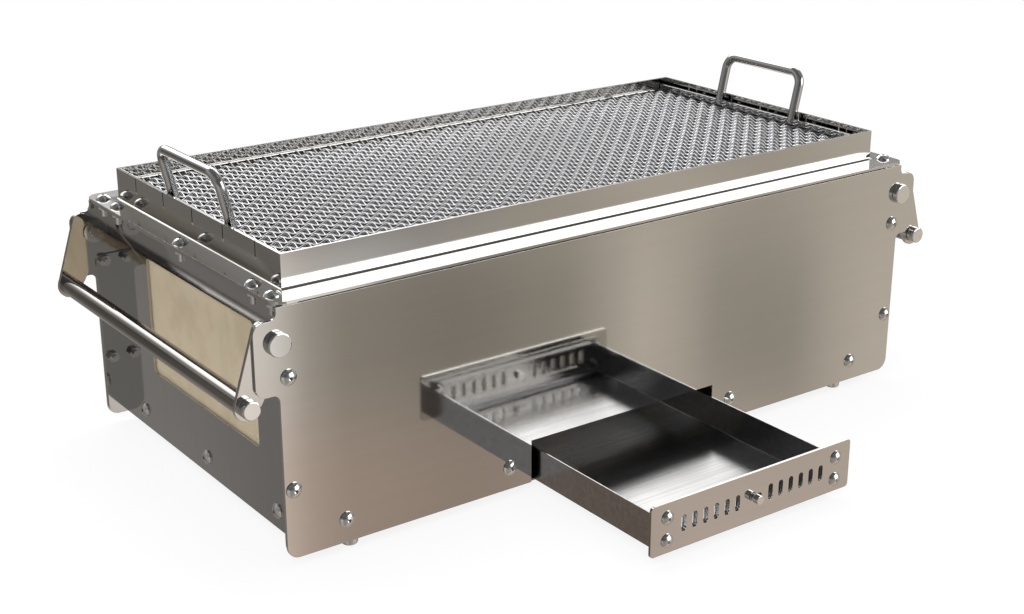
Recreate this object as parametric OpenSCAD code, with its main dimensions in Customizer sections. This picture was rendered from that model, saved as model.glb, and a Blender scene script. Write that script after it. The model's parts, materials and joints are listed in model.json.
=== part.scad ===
/* [Body] */
// Length of the front and back panels
body_l = 600; // [560:5:660]
// Depth over the front and back panels
body_d = 308; // [296:2:340]
// Height of the front and back panels
panel_h = 185.5; // [182:0.5:210]
// Thickness of the front and back panels
panel_t = 2; // [1.5:0.1:2.5]
// Radius of the panels' lower corners
panel_corner_r = 9.5; // [5:0.5:12]
// Height of the panels' lower edge above the table
panel_lift = 8; // [6:0.5:12]

/* [Panel ears] */
// How far an ear stands out past the panel's end
ear_out = 17.5; // [14:0.1:20]
// Drop from the panel's top edge to the ear's top edge
ear_drop = 8.5; // [7:0.5:12]
// Height of an ear
ear_h = 53; // [46:0.5:58]
// Radius of an ear's outer corners
ear_corner_r = 8; // [4:0.5:8.5]
// Radius of the fillets between an ear and the panel's end
ear_fillet_r = 5; // [2:0.5:6]

/* [End panels] */
// Distance from the panels' ends in to an end panel's outer face
end_in = 16; // [14:0.5:18]
// Thickness of an end panel
end_t = 2; // [1.5:0.1:2.5]
// Height of an end panel's lower edge above the front panel's
end_lift = 1.5; // [1:0.1:3]
// Distance from the panels' ends to the edge of an end panel's side flanges
side_flange_inset = 0.5; // [0.3:0.1:1]
// How far an end panel's top flange stands out past the panels' ends
top_flange_out = 1; // [0.5:0.1:1.5]
// Distance from the front and back faces to the window's sides
window_edge = 66; // [56:1:80]
// Height of the window's lower edge
window_low = 56; // [50:1:70]
// Distance from the panels' top edge down to the window's upper edge
window_drop = 33.5; // [30:0.5:44]
// Radius of the window's corners
window_corner_r = 4.5; // [2:0.5:8]

/* [Screws] */
// Thread diameter of the body's screws
screw_d = 5; // [4.5:0.1:5.4]
// Head diameter of the body's screws
screw_head_d = 11.8; // [10:0.1:12]
// Head height of the body's screws
screw_head_h = 3.6; // [3:0.1:4]
// Width across the flats of the body's nuts
nut_w = 8; // [7.5:0.1:8.4]
// Height of the body's nuts
nut_h = 4; // [3:0.1:4.5]
// Length of the panel, end and base screws
screw_l = 11; // [10:0.5:12]
// Length of the collar's screws
collar_screw_l = 14; // [12:0.5:20]
// Distance from a panel's end to its end column of screws
end_column_in = 7; // [6.5:0.1:8]
// Distance from the panels' top edge down to the end column's upper screw
end_column_drop = 50.5; // [48:0.5:58]
// Height of the end column's lower screw
end_column_low = 52; // [44:1:60]
// Distance from a panel's end to its outer base screw
base_screw_outer = 47.5; // [44:0.5:52]
// Distance from the drawer's notch to the inner base screws
base_screw_notch = 20; // [14:0.5:60]
// Height of the base screws
base_screw_z = 17.6; // [16:0.1:20]
// Height of the end panels' screws
end_screw_z = 16; // [15:0.5:20]
// Distance from the front and back faces to the end panels' outer screws
end_screw_edge = 43; // [36:0.5:60]
// Distance from the panels' ends to the collar's screws
collar_screw_in = 6.3; // [6:0.1:7]
// Distance from the front and back faces to the collar's outer screws
collar_screw_edge = 15.5; // [14:0.5:18]
// Step from the collar's outer screws to the next ones
collar_screw_step = 27; // [20:0.5:40]

/* [Collar] */
// Thickness of the collar's sheet
collar_t = 2; // [1.5:0.1:2.5]
// Gap between the front panel's top edge and the collar's flange
collar_gap = 1.5; // [1:0.1:2]
// How far the collar's flange stands out past the panels' ends
collar_out_x = 2; // [1.5:0.1:4]
// How far the collar's flange stands out past the front and back faces
collar_out_y = 1.5; // [0.5:0.1:3]
// Radius of the flange's corners
collar_corner_r = 10; // [4:0.5:12]
// Distance from the panels' ends in to the collar's end walls
collar_wall_in_x = 16.5; // [16:0.1:18]
// Distance from the front and back faces in to the collar's long walls
collar_wall_in_y = 21.5; // [20:0.5:26]
// Height of the collar's walls above its flange
collar_wall_h = 24.5; // [24:0.5:32]
// Number of slits in each end wall
slit_count = 5; // [3:2:5]
// Distance between slits
slit_pitch = 48.4; // [40:0.1:50]
// Width of a slit
slit_w = 1.2; // [1:0.1:2]
// Depth of a slit down to the centre of its round end
slit_depth = 12; // [8:0.5:13]
// Diameter of the round end of a slit
slit_end_d = 3; // [2:0.1:4]

/* [Base and fire box] */
// Height of the base pans' floor above the panels' lower edge
pan_lift = 1; // [0.5:0.1:1.5]
// Thickness of the base pans' sheet
pan_t = 1.5; // [1:0.1:2]
// Height of the base pans
pan_h = 33; // [32.5:0.5:38]
// Thickness of the plate under the charcoal
floor_t = 2; // [1.5:0.1:3]
// Length of the plate's opening over the drawer
floor_open_l = 160; // [120:2:170]
// Depth of the plate's opening over the drawer
floor_open_d = 220; // [160:2:230]
// Thickness of the heat boards
board_t = 18; // [14:0.5:20]
// Distance from the panels' top edge down to the boards' top edge
board_drop = 1.5; // [1:0.5:4]
// Diameter of the feet
foot_d = 12.5; // [10:0.5:16]
// Radius of the feet's round lower edge
foot_round = 2.5; // [1:0.5:3.5]
// Distance from the panels' ends to the feet
foot_in_x = 55; // [50:1:90]
// Distance from the front and back faces to the feet
foot_in_y = 11; // [10:0.5:20]
// Thread diameter of the feet's screws
foot_screw_d = 4; // [3.5:0.1:4.5]
// Head diameter of the feet's screws
foot_screw_head_d = 8; // [7:0.1:9]
// Head height of the feet's screws
foot_screw_head_h = 2; // [1.5:0.1:2.5]
// Length of the feet's screws
foot_screw_l = 6.5; // [5:0.5:8]

/* [Charcoal grate] */
// Diameter of the charcoal grate's rods
coal_rod_d = 6; // [5:0.5:8]
// Distance between the rods
coal_rod_pitch = 16; // [14:0.5:20]
// Thickness of the rails under the rods
coal_rail_t = 3; // [2:0.5:5]
// Height of the rails
coal_rail_h = 40; // [30:1:50]
// Distance from the end boards to the rails' ends
coal_end_gap = 20; // [12:1:40]
// Distance from the long boards to the rods' ends
coal_side_gap = 8; // [5:1:15]
// Distance from the rods' ends to the rails
coal_overhang = 8; // [6:1:12]

/* [Cooking grate] */
// Distance from the collar's end walls to the grate's end bars
grate_gap_x = 5; // [4:0.1:6]
// Distance from the collar's long walls to the grate
grate_gap_y = 1; // [0.5:0.1:3]
// Distance from the collar's top edge down to the end bars' top edge
grate_drop = 5; // [4:0.5:7]
// Thickness of the end bars
end_bar_t = 3; // [2.5:0.1:4]
// Height of the end bars
end_bar_h = 14; // [13:0.5:15]
// Distance from the end bars' top edge down to the mesh's middle plane
mesh_drop = 6.5; // [6:0.1:7]
// Diameter of the mesh's wires
wire_d = 2.5; // [1.5:0.1:2.8]
// Distance between the mesh's wires
mesh_pitch = 7.7; // [7:0.1:10]
// Thickness of the side bars
side_bar_t = 2; // [1.5:0.1:3]
// Height of the side bars
side_bar_h = 8; // [7:0.5:9]
// How far the side bars stand up past the mesh's middle plane
side_bar_rise = 2; // [1.5:0.5:3]
// How far the ledges under the grate reach in past its end bars
ledge_past = 3; // [1:0.5:6]
// Rod diameter of the lifting bails
bail_rod_d = 8; // [6:0.5:8]
// Distance between the axes of a bail's legs
bail_w = 93; // [80:1:120]
// Height of a bail's upper rod above the end bars
bail_h = 39.5; // [32:0.5:50]
// How far a bail's upper rod leans out
bail_lean = 9; // [4:0.5:9]
// Bend radius at a bail's corners
bail_bend_r = 11; // [8:0.5:16]

/* [Carry handles] */
// Distance from the panel's top edge down to a handle's pivot
pivot_drop = 25; // [23:0.5:28]
// Diameter of the pivot pins
pivot_d = 8; // [6:0.5:10]
// Diameter of the pivot pins' heads and retaining discs
pivot_head_d = 17.2; // [14:0.1:19]
// Height of the pivot pins' heads
pivot_head_h = 4.7; // [2:0.1:5]
// Thickness of the retaining discs
pivot_disc_t = 1.5; // [1:0.1:2]
// Distance from the pivot to the grip's axis
handle_reach = 47; // [42:0.1:60]
// Angle of a resting handle from hanging straight down
handle_rest = 29.5; // [26:0.5:40]
// Thickness of the arms
arm_t = 3; // [2:0.1:3.5]
// Radius of the arms' edge round the pivot
arm_pivot_r = 11; // [10:0.1:11.5]
// Radius of the arms' end round the grip's bolt
arm_end_r = 9.5; // [8:0.1:10.5]
// Radius of the arms' upper outer corner
arm_corner_r = 7; // [5:0.1:7.5]
// How far that corner's centre lies past the pivot
arm_corner_past = 3.7; // [2:0.1:4]
// How far that corner's centre lies outside the line from the pivot to the grip
arm_corner_out = 13.1; // [11:0.1:13.5]
// Diameter of the grips
grip_d = 15; // [13:0.5:18]
// Head diameter of the grips' bolts
grip_bolt_head_d = 13.5; // [12:0.1:16]
// Head height of the grips' bolts
grip_bolt_head_h = 7; // [5:0.5:8]
// Thread diameter of the grips' bolts
grip_bolt_d = 8; // [6:0.5:8]
// Length of the grips' bolts
grip_bolt_l = 24; // [16:1:30]

/* [Ash drawer] */
// How far the drawer stands open
drawer_open = 143; // [120:1:180]
// How far the drawer's front plate covers the panel beside the notch
front_cover_x = 6; // [4:0.5:10]
// How far the drawer's front plate covers the panel above the notch
front_cover_z = 4.5; // [3:0.5:8]
// Thickness of the drawer's front plate
front_t = 2; // [1.5:0.1:2.5]
// Radius of the front plate's corners
front_corner_r = 3; // [1:0.5:6]
// Gap between the tray's sides and the notch's sides
tray_side_gap = 4.5; // [3.6:0.1:5.5]
// Gap between the closed tray and the back panel
tray_back_gap = 18; // [14:1:40]
// Height of the tray's side and back walls
tray_h = 26.5; // [22:0.5:28]
// Gap from the notch's upper edge down to the tray's front wall
tray_front_gap = 0.5; // [0.3:0.1:1]
// Thickness of the tray's sheet
tray_t = 1; // [0.8:0.1:1.5]
// Height of the tray's bottom above the panels' lower edge
tray_lift = 0.5; // [0.3:0.1:1]
// Width of the drawer's notch in the front panel
notch_w = 183; // [182:0.5:186]
// Height of the notch
notch_h = 34.5; // [34:0.5:37]
// Thickness of the runners' sheet
runner_t = 1.5; // [1:0.1:1.8]
// Height of the runners
runner_h = 20; // [14:1:28]
// Width of the runners' lip under the tray
runner_lip = 18; // [12:1:24]
// Gap between a runner's ends and the front and back panels
runner_gap = 2; // [0.5:0.5:20]
// Distance from the tray's side to the drawer's screws
front_screw_in = 4.4; // [4.3:0.1:5.5]
// Height of the drawer's upper screws
front_screw_high = 27.5; // [26:0.5:29]
// Height of the drawer's lower screws
front_screw_low = 9.8; // [9:0.1:11]
// Thread diameter of the drawer's screws
front_screw_d = 4; // [3:0.1:4.2]
// Head diameter of the drawer's screws
front_screw_head_d = 10.5; // [8:0.1:11]
// Head height of the drawer's screws
front_screw_head_h = 3; // [2:0.1:3.5]
// Length of the drawer's screws
front_screw_l = 9; // [8:0.5:12]
// Width across the flats of the drawer's nuts
front_nut_w = 6.4; // [6:0.1:6.6]
// Height of the drawer's nuts
front_nut_h = 3; // [2:0.1:3.5]

/* [Air vent] */
// Number of slots on each side of the knob
vent_count = 6; // [3:1:6]
// Distance between slots
vent_pitch = 10.2; // [9.6:0.1:10.4]
// Distance from the knob's axis to the first slot
vent_start = 16.2; // [14:0.1:17]
// Width of a slot
vent_w = 4.4; // [3:0.1:4.5]
// Height of a slot
vent_h = 12.6; // [9:0.1:13]
// Height of the slots' and the knob's centre line
vent_z = 19; // [18.5:0.1:19.5]
// Thickness of the sliding shutter
shutter_t = 1; // [0.8:0.1:1.5]
// Height of the sliding shutter
shutter_h = 17.6; // [16:0.1:18]
// How far the guides reach over the shutter's edges
guide_lip = 1.5; // [1:0.1:1.8]
// Thickness of the guides
guide_t = 1; // [0.8:0.1:1.5]
// Height of a guide's foot on the tray's front wall
guide_foot = 2; // [1.5:0.1:2.2]
// Diameter of the knob's collar
knob_d = 5.4; // [5:0.1:9]
// Length of the knob's collar
knob_collar_l = 0.9; // [0.5:0.1:4]
// Diameter of the knob's neck and shank
knob_neck_d = 4; // [3:0.1:4.2]
// Length of the knob's neck
knob_neck_l = 0.6; // [0.5:0.1:3]
// Diameter of the knob's end
knob_end_d = 7; // [5:0.1:8]
// Length of the knob's end
knob_end_l = 4.9; // [3:0.1:8]

/* [Hidden] */
$fn = 48;

// Fits and small working clearances
run_fit = 0.05;
slip_fit = 0.25;
seat_gap = 0.3;
cut = 1;
// Rim height of a screw head's flange and the depth and width of its hexagonal socket
head_rim_share = 0.22;
socket_depth_share = 0.55;
socket_w_share = 0.27;
// Distance that the sliding shutter's material runs on past its outer slots
shutter_margin = 3;
// Distance that the guides run on past the shutter's ends
guide_margin = 1;
// Clearance round the knob's shank in its slot
knob_slot_fit = 0.6;
// Radius of the end panels' top flange's outer corners, smaller than the collar's
top_corner_r = 8;
// Facets round a screw's dome and round a wire
dome_fn = 192;
wire_fn = 16;

// Faces of the body, from its middle
end_x = body_l / 2;
face_y = body_d / 2;
inner_y = face_y - panel_t;
web_x = end_x - end_in;
web_inner_x = web_x - end_t;

// Heights, from the panels' lower edge
flange_bottom = panel_h + collar_gap;
flange_top = flange_bottom + collar_t;
collar_top = flange_top + collar_wall_h;
pivot_z = panel_h - pivot_drop;
ear_top = panel_h - ear_drop;
ear_bottom = ear_top - ear_h;
pan_top = pan_lift + pan_h;
floor_top = pan_top + floor_t;
board_top = panel_h - board_drop;
window_top = panel_h - window_drop;
end_column_zs = [end_column_low, panel_h - end_column_drop];

// Walls of the collar, outer and inner faces
wall_x = end_x - collar_wall_in_x;
wall_y = face_y - collar_wall_in_y;
wall_inner_x = wall_x - collar_t;
wall_inner_y = wall_y - collar_t;

// Fire box, inside the boards
board_x = web_inner_x - seat_gap;
board_y = inner_y - seat_gap;
fire_x = board_x - board_t;
fire_y = board_y - board_t;

// Carry handles
arm_y = inner_y - seat_gap;
arm_inner_y = arm_y - arm_t;
disc_y = arm_inner_y - seat_gap;
// The resting arm leans on the top corner of the end panel's side flange
arm_lean = handle_rest + asin((arm_pivot_r - arm_end_r) / handle_reach);
side_flange_top = pivot_z - (arm_pivot_r + seat_gap - side_flange_inset * cos(arm_lean)) / sin(arm_lean);
// The grip's axis at the left end
grip_x = -end_x - handle_reach * sin(handle_rest);
grip_z = pivot_z - handle_reach * cos(handle_rest);

// Cooking grate
bar_x = wall_inner_x - grate_gap_x;
bar_inner_x = bar_x - end_bar_t;
grate_y = wall_inner_y - grate_gap_y;
grate_inner_y = grate_y - side_bar_t;
bar_top = collar_top - grate_drop;
bar_bottom = bar_top - end_bar_h;
mesh_z = bar_top - mesh_drop;
long_count = floor(2 * (grate_inner_y - wire_d) / mesh_pitch);
cross_count = floor(2 * (bar_inner_x - wire_d) / mesh_pitch);
bail_angle = atan(bail_lean / bail_h);
bail_slope = sqrt(bail_h * bail_h + bail_lean * bail_lean);
bail_x = bar_x - end_bar_t / 2;
// Ledges inside the collar's end walls
ledge_top = bar_bottom - seat_gap;
ledge_reach = grate_gap_x + end_bar_t + ledge_past;
ledge_h = ledge_top - board_top - seat_gap;
ledge_y = grate_y - collar_screw_edge;

// Charcoal grate
rod_y = fire_y - coal_side_gap;
rail_x = fire_x - coal_end_gap;
rail_y = rod_y - coal_overhang;
rail_bottom = floor_top + seat_gap;
rod_z = rail_bottom + coal_rail_h + coal_rod_d / 2;
rod_count = 1 + floor(2 * (rail_x - coal_rod_d) / coal_rod_pitch);

// Drawer, drawn open
plate_back_y = -face_y - drawer_open;
plate_y = plate_back_y - front_t;
tray_inner_y = plate_back_y + tray_t;
shutter_y = tray_inner_y + seat_gap;
shutter_back_y = shutter_y + shutter_t;
knob_y = plate_y - seat_gap;
knob_l = knob_collar_l + knob_neck_l + knob_end_l;
front_w = notch_w + 2 * front_cover_x;
front_h = notch_h + front_cover_z;
tray_w = notch_w - 2 * tray_side_gap;
front_screw_x = tray_w / 2 - front_screw_in;
tray_l = face_y + inner_y - tray_back_gap;
tray_front_top = notch_h - tray_front_gap;
vent_travel = vent_pitch / 2;
vent_last = vent_start + (vent_count - 1) * vent_pitch;
shutter_right = vent_last + vent_w / 2 + shutter_margin;
shutter_left = shutter_right + vent_travel;
guide_x = shutter_left + guide_margin;
channel_x = notch_w / 2 + panel_t;
runner_y = inner_y - runner_gap;
base_screw_xs = [end_x - base_screw_outer, notch_w / 2 + base_screw_notch];

// Middle of the whole outline, which stands on the origin
outline_front = knob_y - knob_l;
outline_back = max(
    face_y + pivot_head_h, face_y + screw_head_h, face_y + collar_out_y, arm_y + grip_bolt_head_h
);
frame_y = -(outline_front + outline_back) / 2;

steel = "#b9b4aa";
dark_steel = "#8a8782";
bright_steel = "#d4d4d2";
board_beige = "#b09e80";

// Moves the body's own middle to its place over the origin
module placed() {
    translate([0, frame_y, panel_lift]) children();
}

module end_copies() {
    children();
    mirror([1, 0, 0]) children();
}

module face_copies() {
    children();
    mirror([0, 1, 0]) children();
}

module right_end() {
    mirror([1, 0, 0]) children();
}

module back_face() {
    mirror([0, 1, 0]) children();
}

// A rectangle from its lower left to its upper right corner, with round corners
module round_box(low, high, r) {
    translate([low[0] + r, low[1]]) square([high[0] - low[0] - 2 * r, high[1] - low[1]]);
    translate([low[0], low[1] + r]) square([high[0] - low[0], high[1] - low[1] - 2 * r]);
    for (x = [low[0] + r, high[0] - r], y = [low[1] + r, high[1] - r])
        translate([x, y]) circle(r);
}

// A concave fillet in the corner at the origin, filling towards +x and +y
module corner_fillet(r) {
    difference() {
        square(r);
        translate([r, r]) circle(r);
    }
}

// A block from its lower to its upper corner
module block(low, high) {
    translate(low) cube([high[0] - low[0], high[1] - low[1], high[2] - low[2]]);
}

// Stands a flat outline drawn in x and z up at a given y, growing towards +y
module upright(y, t) {
    translate([0, y + t, 0]) rotate([90, 0, 0]) linear_extrude(t) children();
}

// Lays a cylinder along +y
module rod_along_y(x, y, z, d, l) {
    translate([x, y, z]) rotate([-90, 0, 0]) cylinder(d = d, h = l);
}

// A button-head screw standing on its shank's end side: head above zero, shank below
module button_screw(d, head_d, head_h, l) {
    rim = head_h * head_rim_share;
    rise = head_h - rim;
    dome_r = (head_d * head_d / 4 + rise * rise) / (2 * rise);
    difference() {
        rotate_extrude() {
            intersection() {
                square([head_d / 2, head_h]);
                translate([0, head_h - dome_r]) circle(dome_r, $fn = dome_fn);
            }
            translate([0, -l]) square([d / 2, l]);
        }
        translate([0, 0, head_h * (1 - socket_depth_share)])
            cylinder(d = head_d * socket_w_share, h = head_h, $fn = 6);
    }
}

// A hexagonal nut growing towards +z
module nut(w, h, d) {
    difference() {
        cylinder(d = w / cos(30), h = h, $fn = 6);
        translate([0, 0, -cut]) cylinder(d = d + 2 * run_fit, h = h + 2 * cut);
    }
}

// Turns what points along +z to point out of the front face, along -y
module facing_front() {
    rotate([90, 0, 0]) children();
}

// Turns what points along +z to point out of the left end, along -x
module facing_left() {
    rotate([0, -90, 0]) children();
}

// Places of one panel's screws, seen in x and z
module panel_screw_places() {
    end_copies() {
        for (z = end_column_zs)
            translate([-end_x + end_column_in, 0, z]) children();
        for (x = base_screw_xs)
            translate([-x, 0, base_screw_z]) children();
    }
}

module panel_outline() {
    difference() {
        translate([-end_x, 0]) square([body_l, panel_h]);
        for (s = [-1, 1])
            translate([s * end_x, 0]) scale([-s, 1]) corner_fillet(panel_corner_r);
    }
    for (s = [-1, 1]) scale([s, 1]) {
        round_box([end_x - 2 * ear_corner_r, ear_bottom], [end_x + ear_out, ear_top], ear_corner_r);
        translate([end_x, ear_top]) corner_fillet(ear_fillet_r);
        translate([end_x, ear_bottom]) scale([1, -1]) corner_fillet(ear_fillet_r);
    }
}

// One long panel at the front face, without its notch
module long_panel() {
    difference() {
        upright(-face_y, panel_t) panel_outline();
        panel_screw_places() rod_along_y(0, -face_y - cut, 0, screw_d + 2 * slip_fit, panel_t + 2 * cut);
        for (s = [-1, 1])
            rod_along_y(s * end_x, -face_y - cut, pivot_z, pivot_d + 2 * run_fit, panel_t + 2 * cut);
    }
}

module front_panel() {
    color(steel) placed() difference() {
        long_panel();
        block([-notch_w / 2, -face_y - cut, -cut], [notch_w / 2, -inner_y + cut, notch_h]);
    }
}

module back_panel() {
    color(steel) placed() back_face() long_panel();
}

// A side flange of the left end panel, seen in x and z, its lower corner round like the panels'
module side_flange_outline() {
    translate([-end_x + side_flange_inset, end_lift]) difference() {
        square([end_in - side_flange_inset + end_t, side_flange_top - end_lift]);
        corner_fillet(panel_corner_r);
    }
}

// The left end panel's top flange, seen from above, its outer corners round like the collar's
module top_flange_outline() {
    out_x = end_x + top_flange_out;
    difference() {
        translate([-out_x, -inner_y]) square([out_x - web_x, 2 * inner_y]);
        for (s = [-1, 1])
            translate([-out_x, s * inner_y]) scale([1, -s]) corner_fillet(top_corner_r);
    }
}

// The left end panel: a web with a window, two side flanges and a top flange
module end_panel() {
    difference() {
        union() {
            block([-web_x, -inner_y, end_lift], [-web_inner_x, inner_y, flange_bottom]);
            face_copies() upright(-inner_y, end_t) side_flange_outline();
            translate([0, 0, flange_bottom - end_t]) linear_extrude(end_t) top_flange_outline();
        }
        translate([-web_x - cut, 0, 0]) rotate([90, 0, 90]) linear_extrude(end_t + 2 * cut)
            round_box(
                [-face_y + window_edge, window_low],
                [face_y - window_edge, window_top],
                window_corner_r
            );
        panel_screw_places() rod_along_y(0, -face_y, 0, screw_d + 2 * slip_fit, body_d);
        end_screw_places() rotate([0, 90, 0])
            translate([0, 0, -cut]) cylinder(d = screw_d + 2 * slip_fit, h = end_t + 2 * cut);
        collar_screw_places()
            translate([0, 0, -collar_screw_l]) cylinder(d = screw_d + 2 * slip_fit, h = collar_screw_l);
    }
}

module end_panel_left() {
    color(dark_steel) placed() end_panel();
}

module end_panel_right() {
    color(dark_steel) placed() right_end() end_panel();
}

// Places of the left end panel's screws on its outer face
module end_screw_places() {
    for (y = [-face_y + end_screw_edge, 0, face_y - end_screw_edge])
        translate([-web_x, y, end_screw_z]) children();
}

// Places of the left end's collar screws on the flange
module collar_screw_places() {
    far = face_y - collar_screw_edge;
    for (y = [-far, -far + collar_screw_step, 0, far - collar_screw_step, far])
        translate([-end_x + collar_screw_in, y, flange_top]) children();
}

// The left base pan, open at its top
module base_pan() {
    difference() {
        block([-web_inner_x, -inner_y, pan_lift], [-channel_x, inner_y, pan_top]);
        block(
            [-web_inner_x + pan_t, -inner_y + pan_t, pan_lift + pan_t],
            [-channel_x - pan_t, inner_y - pan_t, pan_top + cut]
        );
        panel_screw_places() rod_along_y(0, -face_y, 0, screw_d + 2 * slip_fit, body_d);
        end_screw_places() rotate([0, 90, 0]) cylinder(d = screw_d + 2 * slip_fit, h = end_t + pan_t + cut);
        foot_places() cylinder(d = foot_screw_d + 2 * slip_fit, h = pan_lift + pan_t + cut);
    }
}

module base_pan_left() {
    color(dark_steel) placed() base_pan();
}

module base_pan_right() {
    color(dark_steel) placed() right_end() base_pan();
}

// The left drawer runner, an angle whose lip carries the tray
module drawer_runner() {
    lip_top = tray_lift - seat_gap;
    low = [-channel_x, -runner_y, lip_top - runner_t];
    block(low, [-channel_x + runner_t, runner_y, lip_top + runner_h]);
    block(low, [-channel_x + runner_lip, runner_y, lip_top]);
}

module drawer_runner_left() {
    color(dark_steel) placed() drawer_runner();
}

module drawer_runner_right() {
    color(dark_steel) placed() right_end() drawer_runner();
}

module fire_floor() {
    color(dark_steel) placed() difference() {
        block([-board_x, -board_y, pan_top], [board_x, board_y, floor_top]);
        block(
            [-floor_open_l / 2, -floor_open_d / 2, pan_top - cut],
            [floor_open_l / 2, floor_open_d / 2, floor_top + cut]
        );
    }
}

module long_board() {
    block([-board_x, -board_y, floor_top], [board_x, -fire_y, board_top]);
}

module end_board() {
    block([-board_x, -fire_y, floor_top], [-fire_x, fire_y, board_top]);
}

module board_front() {
    color(board_beige) placed() long_board();
}

module board_back() {
    color(board_beige) placed() back_face() long_board();
}

module board_left() {
    color(board_beige) placed() end_board();
}

module board_right() {
    color(board_beige) placed() right_end() end_board();
}

module collar() {
    out_x = end_x + collar_out_x;
    out_y = face_y + collar_out_y;
    color(steel) placed() difference() {
        union() {
            translate([0, 0, flange_bottom]) linear_extrude(collar_t)
                round_box([-out_x, -out_y], [out_x, out_y], collar_corner_r);
            block([-wall_x, -wall_y, flange_bottom], [wall_x, wall_y, collar_top]);
        }
        block(
            [-wall_inner_x, -wall_inner_y, flange_bottom - cut],
            [wall_inner_x, wall_inner_y, collar_top + cut]
        );
        end_copies() {
            collar_slits();
            collar_screw_places()
                translate([0, 0, -collar_t - cut])
                    cylinder(d = screw_d + 2 * slip_fit, h = collar_t + 2 * cut);
        }
    }
}

// The left end wall's slits, each with a round end
module collar_slits() {
    middle = (slit_count - 1) / 2;
    for (i = [0 : slit_count - 1]) {
        y = (i - middle) * slit_pitch;
        block(
            [-wall_x - cut, y - slit_w / 2, collar_top - slit_depth],
            [-wall_inner_x + cut, y + slit_w / 2, collar_top + cut]
        );
        translate([-wall_x - cut, y, collar_top - slit_depth]) rotate([0, 90, 0])
            cylinder(d = slit_end_d, h = collar_t + 2 * cut);
    }
}

module grate_ledges() {
    color(dark_steel) placed() end_copies() {
        block([-wall_inner_x, -ledge_y, ledge_top - ledge_h], [-wall_inner_x + collar_t, ledge_y, ledge_top]);
        block(
            [-wall_inner_x, -ledge_y, ledge_top - collar_t],
            [-wall_inner_x + ledge_reach, ledge_y, ledge_top]
        );
    }
}

module collar_screws() {
    color(bright_steel) placed() end_copies() collar_screw_places()
        button_screw(screw_d, screw_head_d, screw_head_h, collar_screw_l);
}

module collar_nuts() {
    color(bright_steel) placed() end_copies() collar_screw_places()
        translate([0, 0, -collar_t - end_t - nut_h]) nut(nut_w, nut_h, screw_d);
}

module panel_screws() {
    color(bright_steel) placed() face_copies() panel_screw_places()
        translate([0, -face_y, 0]) facing_front() button_screw(screw_d, screw_head_d, screw_head_h, screw_l);
}

module panel_nuts() {
    color(bright_steel) placed() face_copies() end_copies() {
        for (z = end_column_zs)
            translate([-end_x + end_column_in, -inner_y + end_t + nut_h, z]) facing_front()
                nut(nut_w, nut_h, screw_d);
        for (x = base_screw_xs)
            translate([-x, -inner_y + pan_t + nut_h, base_screw_z]) facing_front()
                nut(nut_w, nut_h, screw_d);
    }
}

module end_screws() {
    color(bright_steel) placed() end_copies() end_screw_places()
        facing_left() button_screw(screw_d, screw_head_d, screw_head_h, screw_l);
}

module end_nuts() {
    color(bright_steel) placed() end_copies() end_screw_places()
        translate([end_t + pan_t + nut_h, 0, 0]) facing_left() nut(nut_w, nut_h, screw_d);
}

// Places of the left end's feet
module foot_places() {
    for (s = [-1, 1])
        translate([-end_x + foot_in_x, s * (face_y - foot_in_y), 0]) children();
}

module feet() {
    color(bright_steel) placed() end_copies() foot_places() difference() {
        translate([0, 0, -panel_lift]) rotate_extrude() {
            square([foot_d / 2 - foot_round, panel_lift + pan_lift]);
            translate([0, foot_round]) square([foot_d / 2, panel_lift + pan_lift - foot_round]);
            translate([foot_d / 2 - foot_round, foot_round]) circle(foot_round);
        }
        translate([0, 0, pan_lift + pan_t - foot_screw_l - seat_gap])
            cylinder(d = foot_screw_d + 2 * run_fit, h = foot_screw_l + seat_gap);
    }
}

module foot_screws() {
    color(bright_steel) placed() end_copies() foot_places()
        translate([0, 0, pan_lift + pan_t])
            button_screw(foot_screw_d, foot_screw_head_d, foot_screw_head_h, foot_screw_l);
}

// The left end's pivots on the front face, pointing towards the front
module pivot_places() {
    end_copies() face_copies() translate([-end_x, -face_y, pivot_z]) children();
}

module pivot_pins() {
    shank_l = face_y - disc_y + pivot_disc_t;
    color(bright_steel) placed() pivot_places() facing_front() {
        cylinder(d = pivot_head_d, h = pivot_head_h);
        translate([0, 0, -shank_l]) cylinder(d = pivot_d, h = shank_l);
    }
}

module pivot_discs() {
    color(bright_steel) placed() pivot_places()
        translate([0, face_y - disc_y + pivot_disc_t, 0]) facing_front() difference() {
            cylinder(d = pivot_head_d, h = pivot_disc_t);
            translate([0, 0, -cut]) cylinder(d = pivot_d + 2 * run_fit, h = pivot_disc_t + 2 * cut);
        }
}

module charcoal_rods() {
    middle = (rod_count - 1) / 2;
    color(dark_steel) placed() for (i = [0 : rod_count - 1])
        rod_along_y((i - middle) * coal_rod_pitch, -rod_y, rod_z, coal_rod_d, 2 * rod_y);
}

module charcoal_rails() {
    color(dark_steel) placed() face_copies()
        block([-rail_x, -rail_y, rail_bottom], [rail_x, -rail_y + coal_rail_t, rail_bottom + coal_rail_h]);
}

// The left handle's front arm
module handle_arm() {
    difference() {
        translate([-end_x, -arm_y, pivot_z]) rotate([0, handle_rest - 90, 0]) rotate([-90, 0, 0])
            arm_slab();
        rod_along_y(-end_x, -arm_y - cut, pivot_z, pivot_d + 2 * run_fit, arm_t + 2 * cut);
        rod_along_y(grip_x, -arm_y - cut, grip_z, grip_bolt_d + 2 * run_fit, arm_t + 2 * cut);
    }
}

// The way that the straight edge from one round corner to the next faces, as an angle. Corners are
// given as [x, y, r], counterclockwise.
function edge_faces(a, b) =
    let(way = [b[0] - a[0], b[1] - a[1]])
    atan2(way[1], way[0]) - 90 + asin((a[2] - b[2]) / norm(way));

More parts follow.
